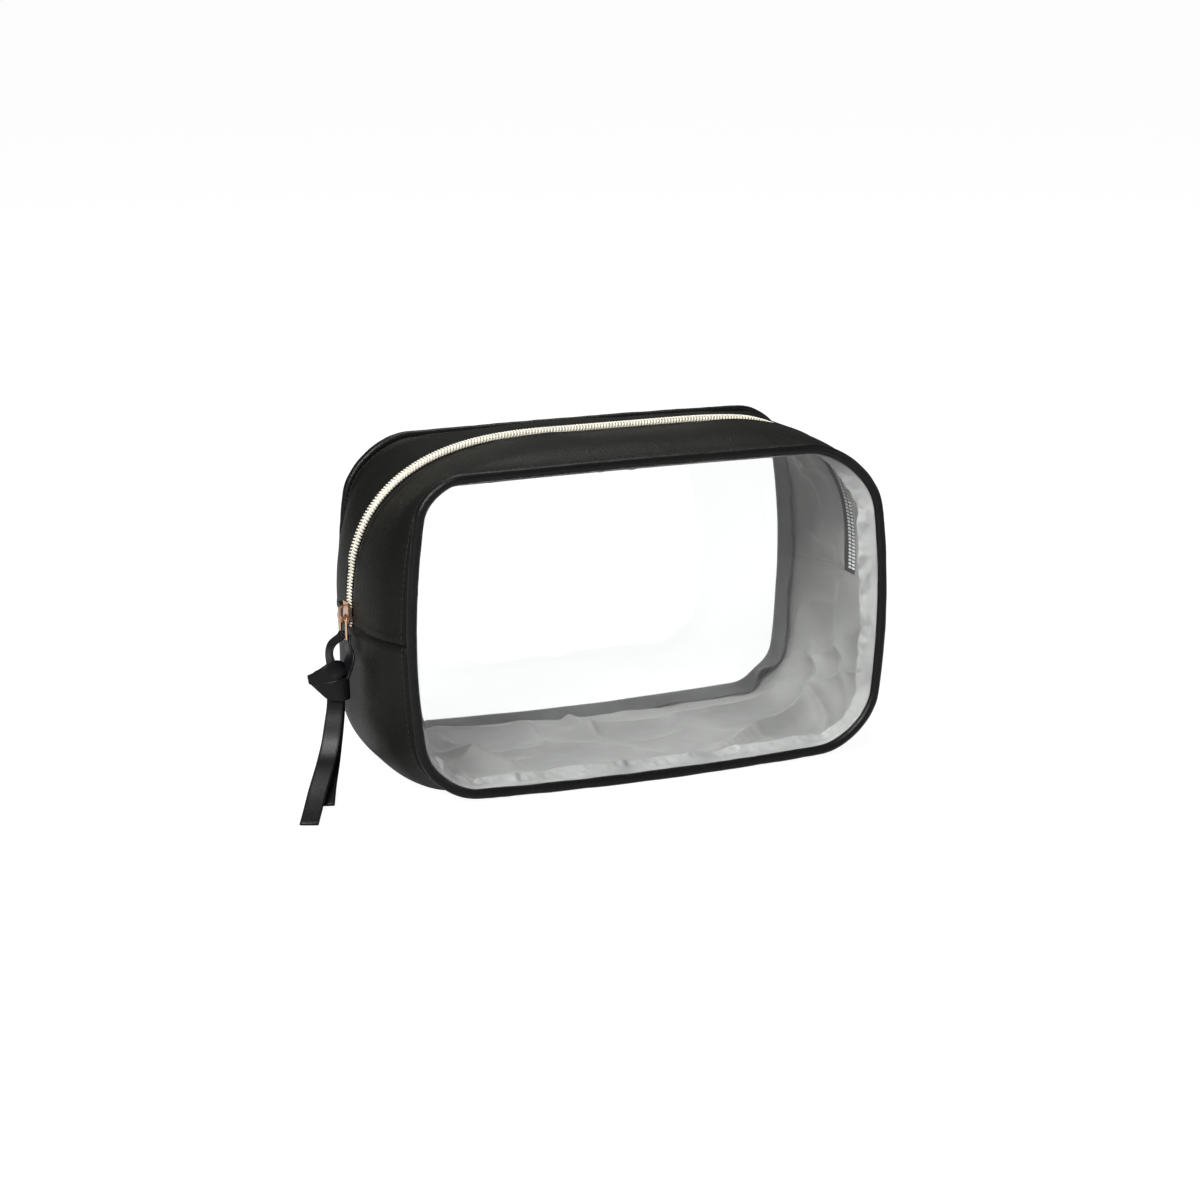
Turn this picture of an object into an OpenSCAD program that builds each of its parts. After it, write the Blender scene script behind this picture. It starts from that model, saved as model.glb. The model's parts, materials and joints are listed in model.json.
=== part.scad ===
// Clear makeup bag: two vinyl windows in piping round a crowned gusset,
// with a coil zipper over the top and a knotted strap on its slider.
// +X runs along the bag, +Y to its back and +Z up. The origin is on the surface
// it stands on, under its middle. Sizes are in millimetres.

/* [Bag] */
// Width between the centrelines of the pipings at the two sides
bag_w = 237; // [210:1:260]
// Height between the centrelines of the pipings at top and bottom
bag_h = 151; // [140:1:170]
// Depth between the centrelines of the front and back pipings
bag_d = 106; // [96:1:120]
// Corner radius of the windows at the piping's centreline
corner_r = 36; // [34:1:45]
// How far the gusset bulges past the piping at the sides
side_crown = 12.5; // [12:0.5:16]
// How far the gusset bulges past the piping at the top
top_crown = 6.5; // [6:0.1:10]

/* [Sheets] */
// Outer radius of the piping
piping_r = 2.4; // [2:0.1:2.6]
// Radius of the filler cord inside the piping
filler_r = 1.6; // [1.2:0.1:1.8]
// Thickness of the clear windows
window_t = 0.5; // [0.4:0.1:0.8]
// Thickness of the faux leather
leather_t = 1; // [0.8:0.1:1.1]
// Thickness of the lining
lining_t = 0.4; // [0.3:0.1:0.5]
// Width of the seam binding round each window
binding_w = 8; // [6:0.5:10]
// Thickness of the seam binding with the seam inside it
binding_t = 1.2; // [1:0.1:1.6]

/* [Zipper] */
// Height of the side seams, where the zipper ends
seam_z = 76.5; // [70:0.5:78]
// Half of the opening between the two upper strips of the gusset
strip_gap = 4.9; // [4.8:0.1:5.4]
// Distance from the zipper's middle to the outer edge of each tape
tape_w = 14; // [12:0.5:16]
// Width of each coil
coil_w = 2; // [1.6:0.1:2]
// Height of the coils above and below the gusset's surface
coil_t = 2; // [1.6:0.1:2]
// Length of the slider
slider_l = 11; // [10:0.5:12]

/* [Strap] */
// Width of the strap
strap_w = 7.6; // [6:0.2:7.8]
// Thickness of the strap
strap_t = 1.2; // [1:0.1:1.4]

/* [Hidden] */
$fn = 48;

LEATHER = [0.07, 0.07, 0.07];
LINING = [0.66, 0.66, 0.67];
CLEAR = [0.9, 0.93, 0.95, 0.35];
GOLD = [0.86, 0.8, 0.66];
ROSE_GOLD = [0.88, 0.62, 0.42];

fit_gap = 0.15;                         // half of the gap where two bodies meet
layer_gap = 0.2;                        // gap between two layers of the wall
skin_clear = 0.05;                      // gap between pieces of one body that touch
half_d = bag_d / 2;                     // the front and back planes
seam_y = half_d - piping_r - skin_clear; // where the gusset meets the piping
top_line = piping_r + bag_h;            // height of the piping's centreline at the top
mid_corner_x = 75;                      // the crowned corner's half axis along X
mid_corner_z = 60;                      // the crowned corner's half axis along Z
mid_floor_r = 38;                       // the crowned corner's radius at the floor
crown_power = 2.4;                      // how square the crown is across the gusset
flat_share = 0.7;                       // share of the gusset's depth that lies on the floor
corner_steps = 10;                      // facets round each corner of the gusset
all_round = 400;                        // longer than the bag, for cutting

// Layers of the wall, measured inwards from the gusset's outer surface.
tape_in = leather_t + layer_gap;
tape_t = 0.5;
lining_in = tape_in + tape_t + 2 * layer_gap;

// The slider stands on the side seam, over the zipper's left end.
wall_x = -(bag_w / 2 + side_crown);
slider_z = seam_z + 2 * fit_gap;
neck_half = 0.6;                        // half the slider's neck, which runs between the coils
coil_y = neck_half + 2 * fit_gap;
plate_t = 1;
plate_y = strip_gap - 0.6;
channel_out = coil_t / 2 + 0.3;         // the slider's outer plate starts here
channel_in = tape_in + tape_t + 0.6;    // and its inner plate here
flange_t = 0.8;

// The pull ring hangs in the slider's bridge.
ring_r = 0.65;
ring_w = 9.7;
ring_h = 9;
bridge_h = 3.6;
bridge_t = 1;
bridge_w = 1.8;
bridge_z0 = slider_z + 1.5;
bridge_l = 8;
ring_out = channel_out + plate_t + (bridge_h - bridge_t) / 2;
ring_x = wall_x - ring_out;
ring_z = bridge_z0 + bridge_t + ring_r + 0.2;
bar_z = ring_z - ring_h;

// The strap's loop hangs from the ring's lower bar, and its tails reach the floor.
loop_in = ring_r + 0.3;
loop_drop = 17;
loop_lean = 6.5;
loop_bulge = [5.4, 2.3];                  // how far the outer and inner legs bow apart
loop_steps = 16;
knot_at = [-143.5, -5.5, 52.3];
front_route = [[-141.9, -7.7, 44.8], [-142.3, -8.5, 39.4], [-143.5, -9.9, 33.9], [-146.2, -12.8, 24.2],
    [-150.6, -18.1, 15.8], [-157.7, -29.4, 8], [-164, -42.6, 3.6], [-169.8, -56, 1.4]];
rear_route = [[-140.1, -4.4, 44.8], [-140.5, -4.9, 39.4], [-141.5, -5.9, 33.9], [-143.3, -7.3, 24.1],
    [-146, -11.2, 14.5], [-150.7, -20.6, 6.3], [-155.6, -33.5, 1.7]];
tail_side = [0.907, -0.421, 0];         // the way across the tails

// --- The shape of the gusset -------------------------------------------------

// 1 in the middle of the gusset's depth, and 0 at the pipings.
function crown(y) = 1 - pow(min(1, abs(y) / seam_y), crown_power);
function half_width(y) = bag_w / 2 + side_crown * crown(y);
function roof_z(y) = top_line + top_crown * crown(y);
function floor_z(y) = piping_r * pow(max(0, (abs(y) / seam_y - flat_share) / (1 - flat_share)), 1.5);
function corner_x(y) = corner_r + (mid_corner_x - corner_r) * crown(y);
function corner_z(y) = corner_r + (mid_corner_z - corner_r) * crown(y);
function floor_r(y) = corner_r + (mid_floor_r - corner_r) * crown(y);

// A quarter ellipse about c, from the angle a to the angle b.
function quarter(c, rx, rz, a, b) =
    [for (i = [0:corner_steps]) let (q = a + (b - a) * i / corner_steps)
        [c.x + rx * cos(q), c.y + rz * sin(q)]];

// From the left seam over the top to the right seam, at depth y and "inset" inside the skin.
function over_top(y, inset) =
    let (a = half_width(y) - inset, z = roof_z(y) - inset,
         rx = corner_x(y) - inset, rz = corner_z(y) - inset, cut = seam_z + fit_gap)
    concat([[-a, cut]], quarter([-a + rx, z - rz], rx, rz, 180, 90),
        quarter([a - rx, z - rz], rx, rz, 90, 0), [[a, cut]]);

// From the left seam under the bag to the right seam.
function under(y, inset) =
    let (a = half_width(y) - inset, z = floor_z(y) + inset, r = floor_r(y) - inset,
         cut = seam_z - fit_gap)
    concat([[-a, cut]], quarter([-a + r, z + r], r, r, 180, 270),
        quarter([a - r, z + r], r, r, 270, 360), [[a, cut]]);

function outline(top, y, inset) = top ? over_top(y, inset) : under(y, inset);

// Two triangles for the corners a, b, c, d of one facet.
function facet(a, b, c, d, flip) = flip ? [[a, c, b], [a, d, c]] : [[a, b, c], [a, c, d]];

// A strip of the wall from y0 to y1, with its faces at two depths below the skin.
module wall(top, y0, y1, outer, inner, rows) {
    cols = len(outline(top, 0, 0));
    side = (rows + 1) * cols;
    points = [for (inset = [outer, inner], i = [0:rows])
        let (y = y0 + (y1 - y0) * i / rows)
        for (p = outline(top, y, inset)) [p.x, y, p.y]];
    // The facets face outwards over the top, and the other way under the bag.
    flip = !top;
    faces = [
        for (i = [0:rows - 1], j = [0:cols - 2])
            let (a = i * cols + j, b = a + 1, c = b + cols, d = a + cols)
            for (f = concat(facet(a, d, c, b, flip),
                    facet(a + side, b + side, c + side, d + side, flip))) f,
        for (i = [0:rows - 1], j = [0, cols - 1])
            let (a = i * cols + j, d = a + cols)
            for (f = facet(a, a + side, d + side, d, flip != (j > 0))) f,
        for (i = [0, rows], j = [0:cols - 2])
            let (a = i * cols + j, b = a + 1)
            for (f = facet(a, b, b + side, a + side, flip != (i > 0))) f];
    polyhedron(points, faces);
}

// Keeps what is above or below the fold in the front, clear of the other part.
module part_of_front(upper) {
    intersection() {
        children();
        translate([-all_round / 2, -all_round / 2, upper ? seam_z + fit_gap : seam_z - fit_gap - all_round])
            cube(all_round);
    }
}

// --- The windows and their edges ---------------------------------------------

// The window's outline in the X-Z plane, "inset" inside the piping's centreline.
module window_outline(inset) {
    r = corner_r - inset;
    x = bag_w / 2 - corner_r;
    z = bag_h / 2 - corner_r;
    union() {
        square([2 * x, 2 * (z + r)], center = true);
        square([2 * (x + r), 2 * z], center = true);
        for (sx = [-1, 1], sz = [-1, 1])
            translate([sx * x, sz * z]) circle(r, $fn = 96);
    }
}

// Stands a flat shape up at depth y, growing towards +Y.
module upright(y, thickness) {
    translate([0, y + thickness, piping_r + bag_h / 2])
        rotate([90, 0, 0]) linear_extrude(thickness) children();
}

module pane(y) {
    color(CLEAR) upright(y - window_t / 2, window_t) window_outline(piping_r + skin_clear);
}

// A round cord along the piping's centreline, in the X-Y plane.
module cord_round(r, hole) {
    x = bag_w / 2 - corner_r;
    z = bag_h / 2 - corner_r;
    module section() {
        difference() {
            circle(r, $fn = 24);
            if (hole > 0) circle(hole, $fn = 24);
        }
    }
    for (sx = [0, 1], sz = [0, 1])
        mirror([sx, 0, 0]) mirror([0, sz, 0])
            translate([x, z, 0]) rotate_extrude(angle = 90, $fn = 96)
                translate([corner_r, 0]) section();
    for (s = [-1, 1]) {
        translate([-x, s * bag_h / 2, 0]) rotate([90, 0, 90]) linear_extrude(2 * x) section();
        translate([s * bag_w / 2, z, 0]) rotate([90, 0, 0]) linear_extrude(2 * z) section();
    }
}

module edge_cord(y, r, hole) {
    translate([0, y, piping_r + bag_h / 2]) rotate([90, 0, 0]) cord_round(r, hole);
}

module piping(y) {
    color(LEATHER) edge_cord(y, piping_r, filler_r + skin_clear);
}

module filler(y) {
    color("dimgray") edge_cord(y, filler_r, 0);
}

// The bound seam allowance, flat behind the window's edge.
module binding(y) {
    color(LINING) upright(y, binding_t) difference() {
        window_outline(piping_r + leather_t);
        window_outline(piping_r + leather_t + binding_w);
    }
}

front_binding_y = -half_d + window_t / 2 + skin_clear;
back_binding_y = half_d - window_t / 2 - skin_clear - binding_t;

module front_window_lower() { part_of_front(false) pane(-half_d); }
module front_window_upper() { part_of_front(true) pane(-half_d); }
module front_piping_lower() { part_of_front(false) piping(-half_d); }
module front_piping_upper() { part_of_front(true) piping(-half_d); }
module front_filler_lower() { part_of_front(false) filler(-half_d); }
module front_filler_upper() { part_of_front(true) filler(-half_d); }
module front_binding_lower() { part_of_front(false) binding(front_binding_y); }
module front_binding_upper() { part_of_front(true) binding(front_binding_y); }
module back_window() { pane(half_d); }
module back_piping() { piping(half_d); }
module back_filler() { filler(half_d); }
module back_binding() { binding(back_binding_y); }

// --- The gusset, its lining and the zipper -----------------------------------

gusset_rows = 7;
module gusset_bottom() {
    color(LEATHER) wall(false, -seam_y, seam_y, 0, leather_t, 2 * gusset_rows);
}
module gusset_back_upper() {
    color(LEATHER) wall(true, strip_gap, seam_y, 0, leather_t, gusset_rows);
}
module gusset_front_upper() {
    color(LEATHER) wall(true, -seam_y, -strip_gap, 0, leather_t, gusset_rows);
}

lining_y = seam_y - binding_t;          // the lining stops short of the bindings
lining_gap = 7;                         // and of the slider's inner plate
module lining_bottom() {
    color(LINING)
        wall(false, -lining_y, lining_y, leather_t + layer_gap, leather_t + layer_gap + lining_t,
            2 * gusset_rows);
}
module lining_back_upper() {
    color(LINING) wall(true, lining_gap, lining_y, lining_in, lining_in + lining_t, gusset_rows);
}
module lining_front_upper() {
    color(LINING) wall(true, -lining_y, -lining_gap, lining_in, lining_in + lining_t, gusset_rows);
}

// The room that the slider needs at rest, where the front's own half stays clear.
module slider_room() {
    translate([wall_x - all_round / 8, -plate_y - 2 * fit_gap, slider_z - plate_t])
        cube([all_round / 4, 2 * plate_y + 4 * fit_gap, slider_l + plate_t + 2 * fit_gap]);
}

module zip_tape_back() {
    color(LEATHER) difference() {
        wall(true, coil_y, tape_w, tape_in, tape_in + tape_t, 3);
        slider_room();
    }
}
module zip_tape_front() {
    color(LEATHER) difference() {
        wall(true, -tape_w, -coil_y, tape_in, tape_in + tape_t, 3);
        slider_room();
    }
}
module zip_coil_back() {
    color(GOLD) difference() {
        wall(true, coil_y, coil_y + coil_w, -coil_t / 2, tape_in - skin_clear, 1);
        slider_room();
    }
}
module zip_coil_front() {
    color(GOLD) difference() {
        wall(true, -coil_y - coil_w, -coil_y, -coil_t / 2, tape_in - skin_clear, 1);
        slider_room();
    }
}

// The clamp that closes the zipper's right end, standing on the seam.
module zip_end_stop() {
    stop_h = 3;
    color(GOLD) translate([-wall_x + skin_clear, -coil_y - coil_w, seam_z - fit_gap - stop_h])
        cube([coil_t, 2 * (coil_y + coil_w), stop_h]);
}

// The folded end of the seam's tape, beside the zipper.
module seam_tab() {
    tab = [1.6, 13, 6.5];
    color(LEATHER) translate([wall_x - tab.x - skin_clear, strip_gap + 1, slider_z])
        cube(tab);
}

// --- The slider, its ring and the strap --------------------------------------

// The slider's plate: a round nose below and a narrower tail above.
module slider_plate_outline() {
    tail_half = 3.4;
    union() {
        translate([0, plate_y]) circle(plate_y);
        polygon([[-plate_y, plate_y], [plate_y, plate_y], [tail_half, slider_l], [-tail_half, slider_l]]);
    }
}

// A shape drawn with Y across and Z up, "out" outside the skin and "t" thick outwards.
module on_wall(out, t) {
    translate([wall_x - out, 0, slider_z]) rotate([90, 0, -90]) linear_extrude(t) children();
}

module slider() {
    neck_l = 3;
    color(ROSE_GOLD) union() {
        on_wall(channel_out, plate_t) slider_plate_outline();
        on_wall(-channel_in - plate_t, plate_t) slider_plate_outline();
        on_wall(-channel_in - plate_t, channel_in + channel_out + 2 * plate_t)
            translate([-neck_half, 0.4]) square([2 * neck_half, neck_l]);
        for (s = [-1, 1]) {
            on_wall(channel_out - flange_t, flange_t + plate_t)
                translate([s * (plate_y - flange_t / 2 - 0.5) - flange_t / 2, 3]) square([flange_t, 6]);
            on_wall(-channel_in - plate_t, plate_t + 0.4)
                translate([s * (plate_y - flange_t / 2 - 0.5) - flange_t / 2, 3]) square([flange_t, 6]);
        }
        bridge();
    }
}

// An arch along the slider's outer plate, open from side to side.
module bridge() {
    base = channel_out + plate_t;
    translate([wall_x - base, bridge_w / 2, bridge_z0]) rotate([90, 0, 0])
        linear_extrude(bridge_w) difference() {
            union() {
                translate([-bridge_h + bridge_t, 0]) square([bridge_h - bridge_t, bridge_l]);
                translate([-bridge_h, bridge_t]) square([bridge_t, bridge_l - 2 * bridge_t]);
                for (z = [bridge_t, bridge_l - bridge_t])
                    translate([-bridge_h + bridge_t, z]) circle(bridge_t);
            }
            translate([-bridge_h + bridge_t, bridge_t])
                square([bridge_h - bridge_t, bridge_l - 2 * bridge_t]);
        }
}

module pull_ring() {
    color(ROSE_GOLD) translate([ring_x, 0, ring_z]) {
        for (z = [0, -ring_h])
            translate([0, ring_w / 2, z]) rotate([90, 0, 0]) cylinder(h = ring_w, r = ring_r);
        for (s = [-1, 1]) {
            translate([0, s * ring_w / 2, -ring_h]) cylinder(h = ring_h, r = ring_r);
            for (z = [0, -ring_h]) translate([0, s * ring_w / 2, z]) sphere(ring_r);
        }
    }
}

// The loop's outline: a half circle round the ring's bar, and two legs that bow apart
// and meet at the knot. "out" is the distance outside the strap's inner face.
function loop_edge(out) =
    let (r = loop_in + out)
    concat(
        [for (i = [0:loop_steps]) let (q = 180 - 180 * i / loop_steps) [r * cos(q), r * sin(q)]],
        [for (i = [1:loop_steps]) leg(i / loop_steps, 1, loop_bulge[1], r, out)],
        [for (i = [loop_steps - 1:-1:1]) leg(i / loop_steps, -1, loop_bulge[0], r, out)]);
function leg(t, side, bulge, r, out) =
    [side * (r * (1 - t) + out * t + bulge * sin(180 * t)) - loop_lean * t * t,
        -loop_drop * t - out * t * t];

module strap_loop() {
    color(LEATHER) translate([ring_x, strap_w / 2, bar_z]) rotate([90, 0, 0])
        linear_extrude(strap_w) difference() {
            polygon(loop_edge(strap_t));
            polygon(loop_edge(0));
        }
}

// The overhand knot: a lump with the fold that points outwards.
module strap_knot() {
    color(LEATHER) hull() {
        translate(knot_at + [3.2, -1.3, 3.5]) sphere(4, $fn = 16);
        translate(knot_at + [3.7, -1.5, -4]) sphere(3.6, $fn = 16);
        translate(knot_at + [-7.6, 3.2, 0.8]) sphere(1.8, $fn = 16);
    }
}

// A flat strap along a route, its width lying along "across".
module flat_strap(route, across) {
    n = len(route);
    points = [for (i = [0:n - 1])
        let (t = route[min(n - 1, i + 1)] - route[max(0, i - 1)],
             up = cross(across, t), u = up / norm(up) * strap_t / 2, w = across * strap_w / 2)
        for (c = [[-1, -1], [1, -1], [1, 1], [-1, 1]]) route[i] + c.x * w + c.y * u];
    faces = [
        [0, 1, 2, 3],
        [for (k = [3:-1:0]) 4 * (n - 1) + k],
        for (i = [0:n - 2], k = [0:3])
            let (a = 4 * i + k, b = 4 * i + (k + 1) % 4)
            for (f = facet(a, a + 4, b + 4, b, false)) f];
    polyhedron(points, faces);
}

module strap_tail_front() { color(LEATHER) flat_strap(front_route, tail_side); }
module strap_tail_rear() { color(LEATHER) flat_strap(rear_route, tail_side); }

front_window_lower();
front_piping_lower();
front_filler_lower();
front_binding_lower();
gusset_bottom();
lining_bottom();
back_window();
back_piping();
back_filler();
back_binding();
gusset_back_upper();
lining_back_upper();
zip_tape_back();
zip_coil_back();
zip_end_stop();
seam_tab();
front_window_upper();
front_piping_upper();
front_filler_upper();
front_binding_upper();
gusset_front_upper();
lining_front_upper();
zip_tape_front();
zip_coil_front();
slider();
pull_ring();
strap_loop();
strap_knot();
strap_tail_front();
strap_tail_rear();
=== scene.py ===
# The clear makeup bag's looks. Lengths are in metres, in the frame of the CAD model:
# +X along the bag, +Y to its back, +Z up, and the floor at z = 0.
import json
import math

import bpy
import numpy as np
from mathutils import Matrix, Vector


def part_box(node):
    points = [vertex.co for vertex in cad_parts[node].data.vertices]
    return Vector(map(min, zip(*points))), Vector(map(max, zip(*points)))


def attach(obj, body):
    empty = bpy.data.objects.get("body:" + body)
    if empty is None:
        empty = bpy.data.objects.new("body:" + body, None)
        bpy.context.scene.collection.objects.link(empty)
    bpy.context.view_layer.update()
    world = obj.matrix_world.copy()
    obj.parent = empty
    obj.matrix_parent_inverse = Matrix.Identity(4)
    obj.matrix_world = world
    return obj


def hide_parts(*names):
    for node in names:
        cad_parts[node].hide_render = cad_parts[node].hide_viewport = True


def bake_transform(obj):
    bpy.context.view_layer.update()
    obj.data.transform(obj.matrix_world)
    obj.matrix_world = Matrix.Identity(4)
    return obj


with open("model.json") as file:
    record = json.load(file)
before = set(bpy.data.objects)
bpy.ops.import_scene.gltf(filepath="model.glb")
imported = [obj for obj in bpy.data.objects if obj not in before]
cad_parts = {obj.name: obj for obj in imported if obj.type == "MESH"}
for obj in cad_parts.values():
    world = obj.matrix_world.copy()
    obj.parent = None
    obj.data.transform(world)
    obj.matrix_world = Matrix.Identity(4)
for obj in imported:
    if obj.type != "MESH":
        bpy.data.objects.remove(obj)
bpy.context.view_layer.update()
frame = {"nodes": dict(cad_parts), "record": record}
scene = bpy.context.scene

# --- Sizes, from the frame ---------------------------------------------------

PIPING_LO, PIPING_HI = (np.array(corner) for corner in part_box("back_piping"))
GUSSET_HI = np.array(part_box("gusset_bottom")[1])
ROOF_HI = np.array(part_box("gusset_back_upper")[1])
JOINTS = {joint["name"]: joint for joint in frame["record"]["behaviour"]["joints"]}

PIPING_R = (PIPING_HI[1] - PIPING_LO[1]) / 2
HALF_W = PIPING_HI[0] - PIPING_R          # the piping's centreline at the sides
LOW = PIPING_LO[2] + PIPING_R             # and at the bottom
HIGH = PIPING_HI[2] - PIPING_R            # and at the top
BACK_Y = PIPING_HI[1] - PIPING_R
MIDDLE_Z = (LOW + HIGH) / 2
SEAM_Y = GUSSET_HI[1]                     # where the gusset meets the piping
SEAM_Z = JOINTS["front_fold"]["pos_m"][2]  # the side seams
SIDE_CROWN = GUSSET_HI[0] - HALF_W
TOP_CROWN = ROOF_HI[2] - HIGH
MM = 0.001

# --- Sizes that follow the photograph ----------------------------------------

SIDE_BOW, TOP_BOW, FLOOR_BOW = 8 * MM, 1.2 * MM, 3.6 * MM   # how far the window's edges bow out
FRONT_CORNERS = (25 * MM, 33 * MM, 17 * MM, 23 * MM)        # from the lower right, anticlockwise
BACK_CORNERS = (23 * MM, 21 * MM, 27 * MM, 25 * MM)         # in the same order, seen from the front
FRONT_BUNCHES = ((-89, 8), (32, 6), (88, 9), (113, 60), (108, 122))   # X and Z, in millimetres
BACK_TWIST = (104, 12)                    # where the back binding twists, in the same way
# The corners of the gusset's middle line: width, height, and how square the left and right ones are.
ROOF_CORNERS = (0.103, 0.082, (2.7, 3.0))
FLOOR_CORNERS = (0.038, 0.038, (2.0, 2.0))
WINDOW_BULGE, WINDOW_T = 1.3 * MM, 0.5 * MM
FILLER_R = 1.45 * MM
BINDING_T = 0.7 * MM
BINDING_START = 0.9 * MM                  # how far inside the window's plane the bindings start
BINDING_TURN = 0.6 * MM                   # the length of the turn between a binding's two parts
BINDING_FLOOR = 1.9 * MM                  # the lowest that a binding may lie

# The pieces that the front and the back each have one of: their name and the CAD nodes they replace.
TWINS = {
    "window": (("front_window", "front_window_lower", "front_window_upper"),
               ("back_window_sheet", "back_window")),
    "piping": (("front_piping", "front_piping_lower", "front_piping_upper"),
               ("back_piping_bead", "back_piping")),
    "filler": (("front_filler", "front_filler_lower", "front_filler_upper"),
               ("back_filler_cord", "back_filler")),
    "binding": (("front_binding", "front_binding_lower", "front_binding_upper"),
                ("back_binding_band", "back_binding")),
    "gusset": (("gusset_front", "gusset_front_upper"), ("gusset_back", "gusset_back_upper")),
    "tape": (("zipper_tape_front", "zip_tape_front"), ("zipper_tape_back", "zip_tape_back")),
    "coil": (("zipper_coil_front", "zip_coil_front"), ("zipper_coil_back", "zip_coil_back")),
}

# --- Shapes ------------------------------------------------------------------


def noise(points, size, seed):
    """Smooth noise from -1 to 1, with bumps about size metres across."""
    q = np.asarray(points, float) / size + seed * 17.31
    cell = np.floor(q)
    part = q - cell
    part = part * part * (3 - 2 * part)
    total = np.zeros(q.shape[:-1])
    for corner in np.ndindex(*[2] * q.shape[-1]):
        spin = np.sin((cell + corner) @ np.array([127.1, 311.7, 74.7])[: q.shape[-1]]) * 43758.5453
        value = (spin - np.floor(spin)) * 2 - 1
        total += value * np.prod(np.where(corner, part, 1 - part), axis=-1)
    return total


def bell(distance, width):
    """1 at no distance, falling smoothly to 0 over about twice the width."""
    return np.exp(-((distance / width) ** 2))


def smooth_step(x, start, end):
    """0 up to the start, 1 from the end on, and a smooth rise between them."""
    t = np.clip((x - start) / (end - start), 0, 1)
    return t * t * (3 - 2 * t)


def unit(v):
    """The same directions, with a length of 1."""
    return v / np.maximum(np.linalg.norm(v, axis=-1, keepdims=True), 1e-12)


def lengths(points):
    """The distance along a line of points, from 0."""
    steps = np.linalg.norm(np.diff(points, axis=0), axis=1)
    return np.concatenate([[0], np.cumsum(steps)])


def resample(points, count, place=3):
    """The line again, as count points evenly spaced along it. Only the first few values of each
    point are its place; the others go with it."""
    along = lengths(points[:, :place])
    at = np.linspace(0, along[-1], count)
    return np.stack([np.interp(at, along, points[:, k]) for k in range(points.shape[1])], axis=1)


def smooth_line(points, count):
    """A smooth curve through the points, as count points evenly spaced along it."""
    p = np.array(points, float)
    p = np.vstack([2 * p[0] - p[1], p, 2 * p[-1] - p[-2]])
    out = []
    for i in range(1, len(p) - 2):
        for t in np.linspace(0, 1, 16, endpoint=False):
            a, b, c, d = p[i - 1], p[i], p[i + 1], p[i + 2]
            out.append(0.5 * (2 * b + (c - a) * t + (2 * a - 5 * b + 4 * c - d) * t**2
                              + (3 * b - a - 3 * c + d) * t**3))
    out.append(p[-2])
    return resample(np.array(out), count)


def twin(kind, side):
    """The name, CAD nodes and body of the front or the back piece of a kind."""
    name, *nodes = TWINS[kind][0 if side < 0 else 1]
    return {"name": name, "nodes": nodes, "body": None if side < 0 else "bag"}


def fold_with_front(piece):
    """The piece's placement is baked into its mesh."""
    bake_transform(piece)


def mesh_piece(points, faces, material, slot, name, body=None, nodes=(), along=None):
    """A smooth-shaded mesh in the given material that stands for the CAD nodes and hides them. Without
    a body its placement is baked into its mesh. The cloth's threads follow along, where that is given.
    The slot is not used."""
    mesh = bpy.data.meshes.new(name)
    mesh.from_pydata(np.asarray(points).reshape(-1, 3).tolist(), [], faces)
    mesh.polygons.foreach_set("use_smooth", [True] * len(mesh.polygons))
    if along is not None:
        cloth = mesh.attributes.new("cloth", "FLOAT_VECTOR", "POINT")
        cloth.data.foreach_set("vector", np.asarray(along, np.float32).reshape(-1))
    mesh.materials.append(material)
    piece = bpy.data.objects.new(name, mesh)
    scene.collection.objects.link(piece)
    if nodes:
        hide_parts(*nodes)
    if body:
        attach(piece, body)
    else:
        fold_with_front(piece)
    return piece


def ring_faces(count, sides, loop, start=0):
    """Faces over count rings of points, with capped ends unless the rings come round again."""
    faces = []
    for i in range(count if loop else count - 1):
        a, b = i * sides, (i + 1) % count * sides
        for j in range(sides):
            k = (j + 1) % sides
            faces.append((start + a + j, start + b + j, start + b + k, start + a + k))
    if not loop:
        for i in (0, count - 1):
            a = start + i * sides
            for j in range(sides // 2 - 1):
                cap = (a + j, a + j + 1, a + sides - 2 - j, a + sides - 1 - j)
                faces.append(cap if i == 0 else cap[::-1])
    return faces


def ring_map(rings):
    """How far along and across each point of some rings lies, for the materials."""
    rings = np.asarray(rings)
    along = np.broadcast_to(lengths(rings.mean(axis=1))[:, None], rings.shape[:2])
    across = np.array([lengths(ring) for ring in rings[:: max(1, len(rings) // 8)]]).mean(axis=0)
    return np.stack([along, np.broadcast_to(across, rings.shape[:2]), np.zeros(rings.shape[:2])], -1)


def tube_piece(rings, material, slot, loop=False, **more):
    """One closed mesh through rings of points, shaped (rings, sides, 3)."""
    rings = np.asarray(rings)
    faces = ring_faces(len(rings), rings.shape[1], loop)
    return mesh_piece(rings, faces, material, slot, along=ring_map(rings), **more)


def many_tubes(tubes, material, slot, **more):
    """Several closed tubes as one mesh."""
    faces, start = [], 0
    for rings in tubes:
        faces += ring_faces(len(rings), rings.shape[1], False, start)
        start += rings.shape[0] * rings.shape[1]
    points = np.concatenate([rings.reshape(-1, 3) for rings in tubes])
    return mesh_piece(points, faces, material, slot, **more)


def slab_rings(outer, normals, thickness, edge_steps=3):
    """Closed rings round a sheet of points (along, across, 3), with rounded edges."""
    inner = outer - normals * thickness
    middle = (outer + inner) / 2

    def rounded_edge(k, out):
        """Lines round the sheet's edge at column k, from its outer to its inner face."""
        side = unit(outer[:, k] - outer[:, k - out])
        turn = np.linspace(0, math.pi, edge_steps + 2)[1:-1]
        half = normals[:, k] * thickness / 2
        return [middle[:, k] + half * math.cos(q) + side * thickness / 2 * math.sin(q) for q in turn]

    last = outer.shape[1] - 1
    columns = [outer[:, j] for j in range(last + 1)]
    columns += rounded_edge(last, 1)
    columns += [inner[:, j] for j in range(last, -1, -1)]
    columns += rounded_edge(0, -1)[::-1]
    return np.stack(columns, axis=1)


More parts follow.
